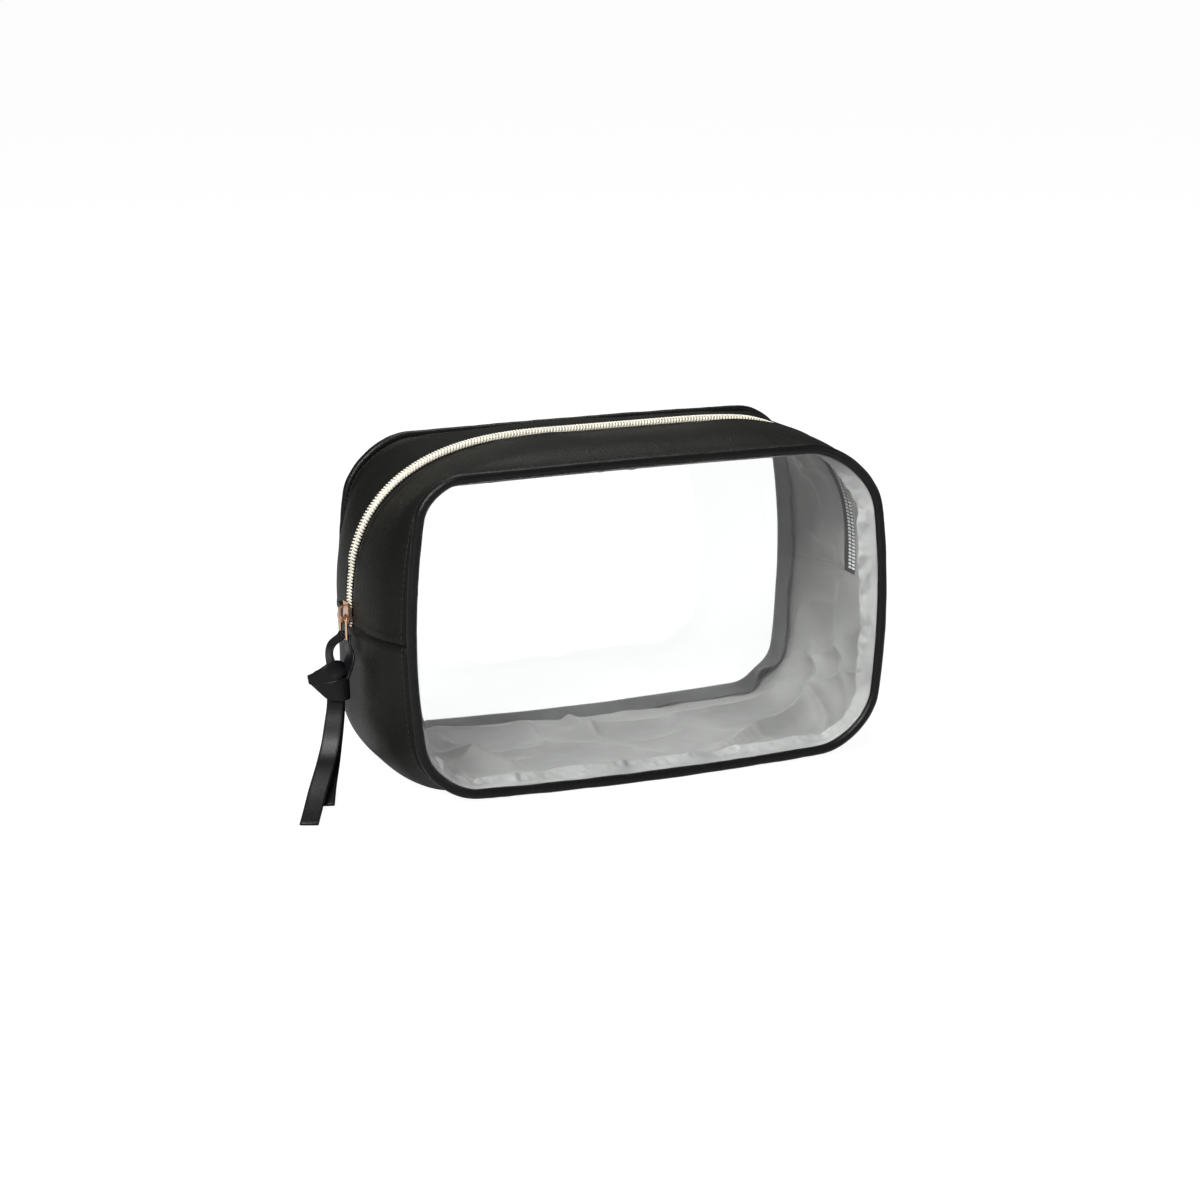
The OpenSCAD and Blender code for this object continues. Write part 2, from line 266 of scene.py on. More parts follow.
def flat_rings(centres, across, width, thickness, steps=6):
    """Rings round a flat strap that follows centres, with its width along across."""
    tangent = unit(np.gradient(centres, axis=0))
    across = unit(across - (across * tangent).sum(-1, keepdims=True) * tangent)
    normal = np.cross(across, tangent)
    offsets = np.linspace(-0.5, 0.5, steps)[None, :, None] * np.asarray(width).reshape(-1, 1, 1)
    outer = centres[:, None] + across[:, None] * offsets + normal[:, None] * thickness / 2
    return slab_rings(outer, np.broadcast_to(normal[:, None], outer.shape), thickness)


def round_rings(centres, radius, sides, up):
    """Rings round a tube that follows centres; up is a direction never along it."""
    tangent = unit(np.gradient(centres, axis=0))
    a = unit(np.cross(np.broadcast_to(up, tangent.shape), tangent))
    b = np.cross(tangent, a)
    turn = np.linspace(0, 2 * math.pi, sides, endpoint=False)
    r = np.asarray(radius).reshape(-1, 1, 1)
    return centres[:, None] + r * (a[:, None] * np.cos(turn)[None, :, None]
                                   + b[:, None] * np.sin(turn)[None, :, None])


# --- The bag's own lines -----------------------------------------------------


def window_line(inset, count, side=-1):
    """Points and outward normals round a window (count, 2), inset inside the piping's
    centreline: straight runs that bow out between four unlike corners. They start at the
    bottom's middle and go anticlockwise as seen from the front."""
    corners = FRONT_CORNERS if side < 0 else BACK_CORNERS
    dense = []
    for (sx, sz), radius, first in zip(((1, -1), (1, 1), (-1, 1), (-1, -1)), corners,
                                       (-90, 0, 90, 180)):
        corner = [sx * (HALF_W - SIDE_BOW), HIGH - TOP_BOW if sz > 0 else LOW + FLOOR_BOW]
        q = np.radians(first + np.linspace(0, 90, 24))
        arc = np.stack([np.cos(q), np.sin(q)], 1)
        dense.append(np.hstack([corner - radius * np.array([sx, sz]) + radius * arc, arc]))
    dense = np.vstack(dense)
    dense = np.vstack([dense, dense[:1]])
    dense = resample(dense, 1600, 2)[:-1]
    p, n = dense[:, :2], unit(dense[:, 2:])
    along_side = 1 - ((p[:, 1] - MIDDLE_Z) / (MIDDLE_Z - LOW)) ** 2
    along_top = 1 - (p[:, 0] / HALF_W) ** 2
    bow = SIDE_BOW * along_side * n[:, 0] ** 2
    bow += np.where(n[:, 1] > 0, TOP_BOW, FLOOR_BOW) * along_top * n[:, 1] ** 2
    p = p + n * bow[:, None]
    start = np.argmin(np.abs(p[:, 0]) + 10 * (p[:, 1] > MIDDLE_Z))
    p = np.roll(p, -start, axis=0)
    t = np.roll(p, -1, axis=0) - np.roll(p, 1, axis=0)
    n = unit(np.stack([t[:, 1], -t[:, 0]], 1))
    line = np.hstack([p - n * inset, n])
    line = resample(np.vstack([line, line[:1]]), count + 1, 2)[:-1]
    return line[:, :2], unit(line[:, 2:])


def crown(y):
    """1 at the middle of the gusset's depth, and 0 at the pipings."""
    return 1 - np.minimum(np.abs(y) / SEAM_Y, 1) ** 3.0


def edge_half(top, side):
    """A panel's outline over or under the side seams, from left to right."""
    line = window_line(0, 2400, side)[0]
    line = np.roll(line, -np.argmin(np.hypot(line[:, 0] - HALF_W, line[:, 1] - SEAM_Z)), axis=0)
    line = np.vstack([line, line[:1]])
    left = np.argmin(np.hypot(line[:, 0] + HALF_W, line[:, 1] - SEAM_Z))
    return line[left::-1] if top else line[left:]


def middle_half(top):
    """The gusset's outline at the middle of its depth, from the left seam to the right seam."""
    a = HALF_W + SIDE_CROWN
    end, way = (HIGH + TOP_CROWN, 1) if top else (0.0, -1)
    rx, rz, powers = ROOF_CORNERS if top else FLOOR_CORNERS
    q = np.linspace(0, math.pi / 2, 80)
    left, right = (np.vstack([[-a, SEAM_Z], np.stack([-a + rx - rx * np.cos(q) ** (2 / power),
                   end - way * rz + way * rz * np.sin(q) ** (2 / power)], 1)]) for power in powers)
    return np.vstack([left, (right * [-1, 1])[::-1]])


EDGES = {(top, side): edge_half(top, side) for top in (True, False) for side in (-1, 1)}
MIDDLES = {top: middle_half(top) for top in (True, False)}


def arch_line(y, count, top):
    """The gusset's outline in X and Z at depth y, from the left seam to the right seam,
    over the top or under the bag."""
    edge = resample(EDGES[top, -1 if y < 0 else 1], count)
    middle = resample(MIDDLES[top], count)
    share = crown(y)
    return edge * (1 - share) + middle * share


def wall(ys, count, top):
    """Points and outward normals of the gusset's surface, shaped (count, len(ys), 3)."""
    p = np.empty((count, len(ys), 3))
    for j, y in enumerate(ys):
        line = arch_line(y, count, top)
        p[:, j] = np.stack([line[:, 0], np.full(count, y), line[:, 1]], 1)
    along, across = np.gradient(p, axis=0), np.gradient(p, axis=1)
    n = unit(np.cross(along, across))
    outward = p - [0, 0, MIDDLE_Z]
    outward[..., 1] = 0
    if (n * outward).sum() < 0:
        n = -n
    return p, n


# --- Materials ---------------------------------------------------------------


def new_material(name, **values):
    """A material with a Principled shader, whose sockets are set by name."""
    material = bpy.data.materials.new(name)
    material.use_nodes = True
    shader = material.node_tree.nodes["Principled BSDF"]
    for key, value in values.items():
        shader.inputs[key.replace("_", " ")].default_value = value
    return material, material.node_tree, shader


def node(tree, kind, inputs=None, **values):
    """A new node of that kind. Each of its inputs gets a value, or a link from a socket."""
    n = tree.nodes.new("ShaderNode" + kind)
    for key, value in values.items():
        setattr(n, key, value)
    for key, value in (inputs or {}).items():
        if isinstance(value, bpy.types.NodeSocket):
            tree.links.new(value, n.inputs[key])
        else:
            n.inputs[key].default_value = value
    return n


def place(tree):
    """The place on the piece, in metres."""
    return node(tree, "TexCoord").outputs["Object"]


def ramp(tree, value, low, high, start=0.0, end=1.0):
    """Colours from low to high as value goes from start to end."""
    r = node(tree, "ValToRGB", {"Fac": value})
    r.color_ramp.elements[0].position, r.color_ramp.elements[1].position = start, end
    r.color_ramp.elements[0].color, r.color_ramp.elements[1].color = low, high
    return r.outputs["Color"]


def grey(value):
    """A neutral colour."""
    return (value, value, value, 1)


def bump(tree, shader, height, strength, distance):
    """A relief too fine for the mesh."""
    b = node(tree, "Bump", {"Height": height, "Strength": strength, "Distance": distance})
    tree.links.new(b.outputs["Normal"], shader.inputs["Normal"])


def leather(name, low, high, rough, grain, depth, **values):
    """Faux leather with slow changes of colour and a pebble grain, given as its scale and depth."""
    material, tree, shader = new_material(name, **values)
    where = place(tree)
    cells = node(tree, "TexVoronoi", {"Vector": where, "Scale": grain}, feature="SMOOTH_F1")
    fine = node(tree, "TexNoise", {"Vector": where, "Scale": grain * 2.5, "Detail": 4.0})
    slow = node(tree, "TexNoise", {"Vector": where, "Scale": 22.0, "Detail": 3.0})
    tree.links.new(ramp(tree, slow.outputs["Fac"], low, high, 0.3, 0.7), shader.inputs["Base Color"])
    gloss = node(tree, "MapRange", {"Value": fine.outputs["Fac"], "To Min": rough - 0.07,
                                    "To Max": rough + 0.09})
    tree.links.new(gloss.outputs["Result"], shader.inputs["Roughness"])
    height = node(tree, "Math", {0: cells.outputs["Distance"], 1: fine.outputs["Fac"]}, operation="ADD")
    bump(tree, shader, height.outputs["Value"], 0.55, depth)
    return material


def woven(name, low, high, rough, thread, depth, creases=0.0, **values):
    """Cloth woven of threads of that thickness, with slow changes of colour, and creases if any."""
    material, tree, shader = new_material(name, Roughness=rough, **values)
    cloth = node(tree, "Attribute", attribute_name="cloth").outputs["Vector"]
    waves = [node(tree, "TexWave", {"Vector": cloth, "Scale": 0.5 / thread}, bands_direction=way)
             for way in ("X", "Y")]
    weave = node(tree, "Math", {0: waves[0].outputs["Fac"], 1: waves[1].outputs["Fac"]},
                 operation="MAXIMUM").outputs["Value"]
    slow = node(tree, "TexNoise", {"Vector": place(tree), "Scale": 30.0, "Detail": 4.0})
    height = weave
    if creases:
        folds = node(tree, "TexNoise", {"Vector": place(tree), "Scale": 160.0, "Detail": 3.0})
        scaled = node(tree, "Math", {0: folds.outputs["Fac"], 1: creases}, operation="MULTIPLY")
        height = node(tree, "Math", {0: weave, 1: scaled.outputs["Value"]},
                      operation="ADD").outputs["Value"]
    tree.links.new(ramp(tree, slow.outputs["Fac"], low, high, 0.3, 0.7), shader.inputs["Base Color"])
    bump(tree, shader, height, 0.4, depth)
    return material


def metal(name, colour, rough, metallic):
    """Plated metal with fine scratches."""
    material, tree, shader = new_material(name, Metallic=metallic)
    where = place(tree)
    haze = node(tree, "TexNoise", {"Vector": where, "Scale": 900.0, "Detail": 5.0})
    tint = [c * 0.82 for c in colour[:3]] + [1]
    tree.links.new(ramp(tree, haze.outputs["Fac"], tint, colour, 0.35, 0.6), shader.inputs["Base Color"])
    gloss = node(tree, "MapRange", {"Value": haze.outputs["Fac"], "To Min": rough * 0.7,
                                    "To Max": rough * 1.5})
    tree.links.new(gloss.outputs["Result"], shader.inputs["Roughness"])
    bump(tree, shader, haze.outputs["Fac"], 0.15, 0.0001)
    return material


def clear_vinyl():
    """Clear vinyl with faint waves; lamps shine through it."""
    material, tree, shader = new_material("clear_vinyl", Roughness=0.02, IOR=1.45,
                                          Transmission_Weight=1.0, Base_Color=(0.985, 0.99, 0.99, 1))
    waves = node(tree, "TexNoise", {"Vector": place(tree), "Scale": 14.0, "Detail": 2.0})
    bump(tree, shader, waves.outputs["Fac"], 0.1, 0.002)
    through = node(tree, "BsdfTransparent", {"Color": (0.96, 0.97, 0.97, 1)})
    ray = node(tree, "LightPath")
    mix = node(tree, "MixShader", {0: ray.outputs["Is Shadow Ray"], 1: shader.outputs[0],
                                   2: through.outputs[0]})
    out = tree.nodes["Material Output"]
    tree.links.new(mix.outputs[0], out.inputs["Surface"])
    return material


LEATHER = leather("gusset_leather", (0.0040, 0.0040, 0.0030, 1), (0.0080, 0.0080, 0.0064, 1),
                  0.42, 900.0, 0.0003, Specular_IOR_Level=0.16)
PIPING_LEATHER = leather("piping_leather", (0.004, 0.004, 0.004, 1), (0.006, 0.006, 0.0055, 1),
                         0.3, 1200.0, 0.0002, Specular_IOR_Level=0.24)
STRAP_LEATHER = leather("strap_leather", (0.005, 0.0052, 0.006, 1), (0.0065, 0.0067, 0.0075, 1),
                        0.34, 1500.0, 0.00008, Specular_IOR_Level=0.2)
LINING = woven("lining_satin", (0.15, 0.15, 0.144, 1), (0.215, 0.215, 0.207, 1),
               0.46, 0.00022, 0.00003, Sheen_Weight=0.2, Sheen_Roughness=0.4, Specular_IOR_Level=0.3)
BINDING = woven("binding_satin", (0.16, 0.16, 0.156, 1), (0.29, 0.29, 0.283, 1),
                0.42, 0.0004, 0.00025, 2.0)
# The back binding is the same satin as the front one. This darker copy paints in the shade it lies in.
SHADED_BINDING = woven("binding_satin_painted_shade", grey(0.02), grey(0.085),
                     0.4, 0.0004, 0.0002, 2.0, Specular_IOR_Level=0.12)
TAPE = woven("zip_tape_weave", grey(0.012), grey(0.02), 0.75, 0.0005, 0.0001)
COIL = metal("champagne_coil", (1.0, 0.96, 0.84, 1), 0.35, 0.1)
ROSE_GOLD = metal("rose_gold", (0.95, 0.62, 0.42, 1), 0.2, 1.0)
BLACK_THREAD = woven("black_thread", grey(0.015), grey(0.03), 0.6, 0.0002, 0.00003)
PALE_THREAD = woven("pale_thread", grey(0.6), grey(0.75), 0.6, 0.0002, 0.00003)
FILLER = woven("filler_cotton", grey(0.25), grey(0.35), 0.8, 0.0005, 0.0001)
VINYL = clear_vinyl()


# --- Windows, piping and seam bindings ---------------------------------------


def window(side):
    """A clear sheet, bowed a little outwards, that reaches into the seam behind the piping."""
    y = side * BACK_Y
    rings, sides = 40, 200
    shares = np.linspace(1, 0, rings + 1)[:-1]
    edge = window_line(PIPING_R * 0.4, sides, side)[0]
    centre = np.array([0, MIDDLE_Z])
    points = []
    for share in shares:
        p = centre + (edge - centre) * share
        waves = noise(np.stack([p[:, 0], p[:, 1]], 1), 0.05, 3 + side) * 0.35 * MM
        bow = side * ((1 - share**2) * WINDOW_BULGE + waves * (1 - share**6))
        points.append(np.stack([p[:, 0], y + bow, p[:, 1]], 1))
    points = np.array(points)
    hub = np.array([[0, y + side * WINDOW_BULGE, MIDDLE_Z]])
    half = np.array([0, WINDOW_T / 2, 0])
    count = rings * sides
    both = np.vstack([points.reshape(-1, 3) - half, hub - half, points.reshape(-1, 3) + half, hub + half])
    faces = []
    for start, back in ((0, False), (count + 1, True)):
        for i in range(rings - 1):
            for j in range(sides):
                k = (j + 1) % sides
                f = [start + i * sides + j, start + i * sides + k,
                     start + (i + 1) * sides + k, start + (i + 1) * sides + j]
                faces.append(f[::-1] if back else f)
        for j in range(sides):
            last = start + (rings - 1) * sides
            f = [last + j, last + (j + 1) % sides, start + count]
            faces.append(f[::-1] if back else f)
    for j in range(sides):
        k = (j + 1) % sides
        faces.append([j, count + 1 + j, count + 1 + k, k])
    mesh_piece(both, faces, VINYL, "clear_vinyl", **twin("window", side))


def piping(side):
    """A round bead with fine puckers, where its cover is gathered over the cord."""
    count, sides = 560, 20
    line, normal = window_line(0, count, side)
    turn = np.linspace(0, 2 * math.pi, sides, endpoint=False)
    ways = (normal[:, None, [0, 0, 1]] * [1, 0, 1] * np.cos(turn)[None, :, None]
            + np.array([0, 1, 0]) * np.sin(turn)[None, :, None])
    centre = np.stack([line[:, 0], np.full(count, side * BACK_Y), line[:, 1]], 1)
    surface = centre[:, None] + ways * PIPING_R
    pucker = noise(surface, 0.004, 5) * 0.10 * MM + noise(surface, 0.013, 6) * 0.16 * MM
    seam = -0.35 * MM * bell(np.abs(turn - (math.pi / 2 if side < 0 else 1.5 * math.pi)), 0.5)
    rings = surface + ways * (pucker + seam[None, :])[..., None]
    rings[..., 2] = np.maximum(rings[..., 2], 0.05 * MM)
    tube_piece(rings, PIPING_LEATHER, "leather", loop=True, **twin("piping", side))


def filler(side):
    """The cotton cord inside the piping."""
    count, sides = 480, 8
    line = window_line(0, count, side)[0]
    centre = np.stack([line[:, 0], np.full(count, side * BACK_Y), line[:, 1]], 1)
    centre = np.vstack([centre, centre[:1]])
    rings = round_rings(centre, FILLER_R, sides, (0, 1, 0))[:-1]
    tube_piece(rings, FILLER, "filler_cord", loop=True, **twin("filler", side))


def binding_shape(side, line, where):
    """How a binding leans from the window's plane into the bag, the width that leans, and the
    width of the flat margin before it, at each point of its line."""
    low = smooth_step(-line[:, 1], -0.040, -0.016)
    right = smooth_step(line[:, 0], 0.085, 0.112) * (1 - low)
    top = smooth_step(line[:, 1], HIGH - 0.024, HIGH - 0.008)
    if side < 0:
        bunched = sum(bell(np.hypot(line[:, 0] - x * MM, line[:, 1] - z * MM), 6 * MM)
                      for x, z in FRONT_BUNCHES)
        lean = 78 - 36 * low - 42 * right + 10 * top
        lean += (9 * noise(where, 0.016, 11) + 9 * noise(where, 0.006, 12)) * (1 - 0.8 * top)
        lean += 25 * bunched
        width = 7.4 - 2.0 * low + 1.0 * noise(where, 0.006, 13) + 0.5 * noise(where, 0.02, 19)
        rise = np.full(len(line), 0.4)
    else:
        x, z = BACK_TWIST
        twist = bell(np.hypot(line[:, 0] - x * MM, line[:, 1] - z * MM), 7 * MM)
        lean = 106 + 8 * noise(where, 0.03, 14) + 7 * noise(where, 0.011, 18) - 22 * twist
        width = 10.4 + 0.9 * noise(where, 0.03, 15) + 0.6 * noise(where, 0.009, 19)
        rise = 3.2 + 0.5 * noise(where, 0.02, 20) + 0.9 * twist
    return np.radians(lean), width * MM, rise * MM


def seam_binding(side):
    """The bound seam allowance inside the window: a flat margin beside the piping, a turn, and a
    part that leans into the bag. At the front's right and bottom it leans into the window too."""
    count, steps = 1100, 13
    line, normal = window_line(PIPING_R * 0.75, count, side)
    where = np.stack([line[:, 0], np.full(count, side * 0.01), line[:, 1]], 1)
    lean, width, rise = binding_shape(side, line, where)
    inward = np.stack([-normal[:, 0], np.zeros(count), -normal[:, 1]], 1)[:, None]
    back = np.array([0, -side, 0.0])
    turned = lean[:, None] * np.array([0, 0, 0.5] + [1] * (steps - 3))
    run = np.concatenate([np.tile(rise[:, None] / 2, 2), np.full((count, 1), BINDING_TURN),
                          np.tile(width[:, None] / (steps - 3), steps - 3)], axis=1)
    way = inward * np.cos(turned)[..., None] + back * np.sin(turned)[..., None]
    face = inward * np.sin(turned)[..., None] - back * np.cos(turned)[..., None]
    start = np.stack([line[:, 0], np.full(count, side * (BACK_Y - BINDING_START)), line[:, 1]], 1)
    outer = start[:, None] + np.cumsum(way * run[..., None], axis=1)
    share = np.linspace(0, 1, steps)
    if side < 0:
        lift = 0.8 * MM * noise(outer, 0.0030, 16) + 0.7 * MM * noise(outer, 0.008, 17)
    else:
        lift = 0.7 * MM * noise(outer, 0.017, 16) + 0.35 * MM * noise(outer, 0.006, 17)
    lift = lift * smooth_step(share, 0.2, 0.6)[None]
    outer = outer + face * lift[..., None]
    outer[..., 2] = np.maximum(outer[..., 2], BINDING_FLOOR)
    rings = slab_rings(outer, -face, BINDING_T)
    # The back binding gets the darker copy of the satin: painted shade.
    material = BINDING if side < 0 else SHADED_BINDING
    tube_piece(rings, material, "binding", loop=True, **twin("binding", side))


# --- Gusset and lining -------------------------------------------------------

STRIP_EDGE = 4.0 * MM                     # the gusset's strips stop this far from the zipper's middle
STRIP_ROLL = 2.2 * MM                     # and are thickest this far from that edge
SEAM_RIDGE = 2.8 * MM                     # the ridge over the seam allowance, from the seam
SEAM_VALLEY = 9 * MM                      # the hollow beside it, from the seam
LEATHER_T = 1.0 * MM
LINING_T = 0.3 * MM
LINING_GAP = 2.3 * MM                     # the least that the lining lies inside the leather's face
SLIDE_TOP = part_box("slider")[1][2] + JOINTS["zip_slide"]["range_m"][1]


def slides(p):
    """1 along the zipper's left end, where the slider runs, and 0 elsewhere."""
    return (p[..., 0] < 0) * (1 - smooth_step(p[..., 2], SLIDE_TOP, SLIDE_TOP + 6 * MM))


def leather_relief(p, gap_to_seam, top):
    """How far the leather stands out of its plain shape at each point."""
    ridge = 0.55 * MM * bell(gap_to_seam - SEAM_RIDGE, 1.3 * MM)
    valley = -0.7 * MM * bell(gap_to_seam, 1.1 * MM) - 0.8 * MM * bell(gap_to_seam - SEAM_VALLEY, 5 * MM)
    pucker = (0.28 * noise(p * [1, 0.35, 1], 0.006, 21) + 0.3 * noise(p * [1, 0.5, 1], 0.014, 22)) * MM
    slack = 0.9 * MM * noise(p, 0.034, 23) + 0.8 * MM * noise(p, 0.07, 24)
    middle = smooth_step(gap_to_seam, 0, 12 * MM)
    side_seam = -0.55 * MM * bell(p[..., 2] - SEAM_Z, 1.4 * MM)
    side_seam += 0.35 * MM * bell(p[..., 2] - SEAM_Z - (3 if top else -3) * MM, 1.6 * MM)
    return ridge + valley + pucker * (1 - 0.75 * middle) + slack * middle + side_seam


def gusset_upper(side):
    """One upper strip of the gusset, from the piping to its folded edge beside the zipper."""
    ys = side * np.linspace(STRIP_EDGE, SEAM_Y - 0.2 * MM, 40)
    p, n = wall(ys, 300, True)
    relief = leather_relief(p, SEAM_Y - np.abs(p[..., 1]), True)
    from_edge = np.abs(p[..., 1]) - STRIP_EDGE
    relief += 0.45 * MM * bell(from_edge - STRIP_ROLL, 1.6 * MM) - 0.35 * MM * bell(from_edge, 0.9 * MM)
    relief += 0.18 * MM * noise(p, 0.007, 25) * bell(from_edge, 4 * MM)
    under_slider = slides(p) * (1 - smooth_step(from_edge, 1 * MM, 5 * MM))
    relief += (np.clip(relief, -0.6 * MM, 0.1 * MM) - relief) * under_slider
    rings = slab_rings(p + n * relief[..., None], n, LEATHER_T)
    piece = tube_piece(rings, LEATHER, "leather", **twin("gusset", side))


def gusset_lower():
    """The lower strip, under the bag and up both sides to the side seams."""
    ys = np.linspace(-SEAM_Y + 0.2 * MM, SEAM_Y - 0.2 * MM, 72)
    p, n = wall(ys, 300, False)
    relief = leather_relief(p, SEAM_Y - np.abs(p[..., 1]), False)
    outer = p + n * relief[..., None]
    outer[..., 2] = np.maximum(outer[..., 2], 0.03 * MM)
    rings = slab_rings(outer, n, LEATHER_T)
    rings[..., 2] = np.maximum(rings[..., 2], 0.0)
    piece = tube_piece(rings, LEATHER, "leather", name="gusset_lower", body="bag",
                       nodes=("gusset_bottom",))


# Folds of the lining, as (points, height, width) in millimetres. A point is how far along the
# gusset it lies to the right of the middle, and how deep in the bag.
LOWER_FOLDS = (
    (((122, 17), (96, 0), (71, -18), (40, -38)), 6.7, 5.0),
    (((122, 17), (112, -16), (104, -40)), 4.9, 4.0),
    (((104, 36), (77, 26), (43, 25)), 4.6, 5.0),
    (((146, 34), (131, 16), (122, 17)), 4.6, 4.0),
    (((163, 10), (150, 0), (135, -9), (124, -30)), 4.3, 4.5),
    (((-34, 36), (-16, 22), (10, 20), (34, 21)), 4.6, 5.0),
    (((-82, 46), (-77, 13), (-62, -14), (-50, -13)), 5.2, 5.0),
    (((-89, 11), (-74, -2), (-63, -15)), 4.1, 4.0),
    (((-37, 7), (-11, -6), (14, -30)), 2.9, 6.0),
    (((131, 44), (149, 10), (170, -20)), 3.2, 5.0),
    (((-112, 44), (-122, 10), (-112, -36)), 4.6, 6.0),
    (((-150, 30), (-140, 0), (-152, -30)), 3.8, 6.0),
)
UPPER_FOLDS = (
    (((178, 30), (150, 22), (120, 30)), 3.5, 5.0),
    (((170, -14), (148, -24), (128, -16)), 3.5, 5.0),
    (((140, 36), (124, 20), (112, 34)), 3.2, 4.0),
    (((-172, 26), (-150, 14), (-120, 24)), 3.5, 5.0),
    (((-168, -20), (-140, -30)), 3.2, 5.0),
    (((60, 30), (20, 24), (-20, 32)), 2.3, 5.0),
    (((40, -28), (0, -22), (-40, -30)), 2.3, 5.0),
)


def fold_height(flat, points, height, width):
    """The height of one soft fold along a line of points, over places (..., 2) of the flat cloth."""
    line = smooth_line(np.array(points) * MM, 24)
    gone = np.linspace(0, 1, len(line) - 1)
    reach = np.sin(np.pi * (0.1 + 0.8 * gone))
    total = np.zeros(flat.shape[:-1])
    for a, b, share in zip(line[:-1], line[1:], reach):
        t = np.clip((flat - a) @ (b - a) / ((b - a) @ (b - a)), 0, 1)
        away = np.linalg.norm(flat - a - t[..., None] * (b - a), axis=-1)
        total = np.maximum(total, share * np.exp(-(away / (width * MM)) ** 1.25))
    return height * MM * total * (1 + 0.25 * noise(flat, 0.012, 37))


def lining_slack(flat, gap_to_seam, top):
    """How far the lining hangs inside the leather at each place of the flat cloth."""
    hang = sum(fold_height(flat, *fold) for fold in (UPPER_FOLDS if top else LOWER_FOLDS))
    bent = flat + 6 * MM * np.stack([noise(flat, 0.03, 34), noise(flat, 0.03, 35)], -1)
    ridged = 1 - np.abs(noise(bent * [1, 0.55], 0.028, 31))
    soft = 0.5 + 0.5 * noise(flat, 0.045, 36)
    small = 0.22 * MM * noise(flat, 0.007, 32) + 0.5 * MM * (0.5 + 0.5 * noise(flat, 0.02, 33))
    rest = 2.2 * MM * ridged**5 + 1.4 * MM * soft + small
    return (hang + rest) * smooth_step(gap_to_seam, 0, 9 * MM)


def lining(name, ys, top, body, nodes):
    """A loose satin sheet inside the leather, from seam to seam."""
    p, n = wall(ys, 420, top)
    gap_to_seam = np.minimum(np.abs(np.abs(p[..., 1]) - SEAM_Y), np.abs(p[..., 1] - ys[0]) + 3 * MM)
    gap_to_seam = np.minimum(gap_to_seam, np.abs(p[..., 1] - ys[-1]) + 3 * MM)
    seam_pull = 0.7 * MM * bell(p[..., 2] - SEAM_Z, 2 * MM)
    whole = lengths(resample(MIDDLES[top], 900))[-1]
    along = (np.linspace(-0.5, 0.5, len(p)) * whole)[:, None]
    flat = np.stack([np.broadcast_to(along, p.shape[:2]), p[..., 1]], -1)
    slack = lining_slack(flat, gap_to_seam, top) * smooth_step(np.abs(p[..., 2] - SEAM_Z), 0, 6 * MM)
    inset = LINING_GAP + slack
    outer = p - n * (inset + seam_pull)[..., None]
    outer[..., 1] = np.clip(outer[..., 1], -SEAM_Y + 0.3 * MM, SEAM_Y - 0.3 * MM)
    rings = slab_rings(outer, n, LINING_T, 1)
    piece = tube_piece(rings, LINING, "lining", name=name, body=body, nodes=nodes)


# --- Zipper ------------------------------------------------------------------

COIL_PITCH = 1.5 * MM
COIL_WIRE_R = 0.44 * MM
COIL_SINKS = (0.068, 0.096)               # where the coils sink between the strips, along X
TAPE_EDGE = 14 * MM
TAPE_DEPTH, TAPE_T = 1.25 * MM, 0.45 * MM
NECK_ROOM = 0.8 * MM                      # the slider's neck runs this far to each side


def zip_tape(side):
    """The woven tape under the strip's edge, from beside the zipper's middle."""
    ys = side * np.linspace(0.15 * MM, TAPE_EDGE, 14)
    p, n = wall(ys, 300, True)
    p[..., 1] = side * np.maximum(np.abs(p[..., 1]), NECK_ROOM * slides(p))
    rings = slab_rings(p - n * TAPE_DEPTH, n, TAPE_T, 1)
    tube_piece(rings, TAPE, "zip_tape", **twin("tape", side))


def zip_line(count):
    """The zipper's middle line and its outward normals."""
    line = resample(middle_half(True), count)
    p = np.stack([line[:, 0], np.zeros(count), line[:, 1]], 1)
    t = unit(np.gradient(p, axis=0))
    return p, np.stack([-t[:, 2], np.zeros(count), t[:, 0]], 1)


def zip_coil(side):
    """One coil of the zipper: a flattened helix, half a turn behind the other side's. It is
    flatter where the slider runs, and sinks between the strips at the right."""
    per_turn = 12
    whole = lengths(resample(middle_half(True), 900))[-1]
    count = int(whole / COIL_PITCH) * per_turn + 1
    p, n = zip_line(count)
    turn = 2 * math.pi * np.arange(count) / per_turn + (0 if side < 0 else math.pi)
    past_slider = smooth_step(p[:, 2], SLIDE_TOP, SLIDE_TOP + 7 * MM)
    past_slider[p[:, 0] > 0] = 1
    sunk = smooth_step(p[:, 0], *COIL_SINKS)
    tall = (0.42 + 0.58 * past_slider) * (1 - 0.65 * sunk)
    out = (0.1 - 1.1 * sunk + 0.95 * tall * (1 + np.sin(turn))) * MM
    centres = p + n * out[:, None]
    centres[:, 1] = side * (1.42 * MM + (1.1 + 0.4 * tall) * MM * (0.08 + np.cos(turn)))
    rings = round_rings(centres, COIL_WIRE_R, 6, (0.0, 1.0, 0.03))
    tube_piece(rings, COIL, "zip_coil", **twin("coil", side))


def stitches(name, points, normals, pitch, size, material, slot, body):
    """A row of short stitches lying along a line: each is thickest and highest at its middle."""
    along = lengths(points)
    count = int(along[-1] / pitch)
    tubes = []
    radii = np.array([0.25, 0.85, 1.0, 0.85, 0.25]) * size
    heights = np.array([-0.6, 0.2, 0.45, 0.2, -0.6]) * size
    stretch = np.linspace(-0.36, 0.36, len(radii)) * pitch
    for i in range(count):
        at = (i + 0.5) * pitch + stretch
        centre = np.stack([np.interp(at, along, points[:, k]) for k in range(3)], 1)
        up = np.stack([np.interp(at, along, normals[:, k]) for k in range(3)], 1)
        centre = centre + up * heights[:, None]
        tubes.append(round_rings(centre, radii, 6, unit(up[2])))
    many_tubes(tubes, material, slot, name=name, body=body)


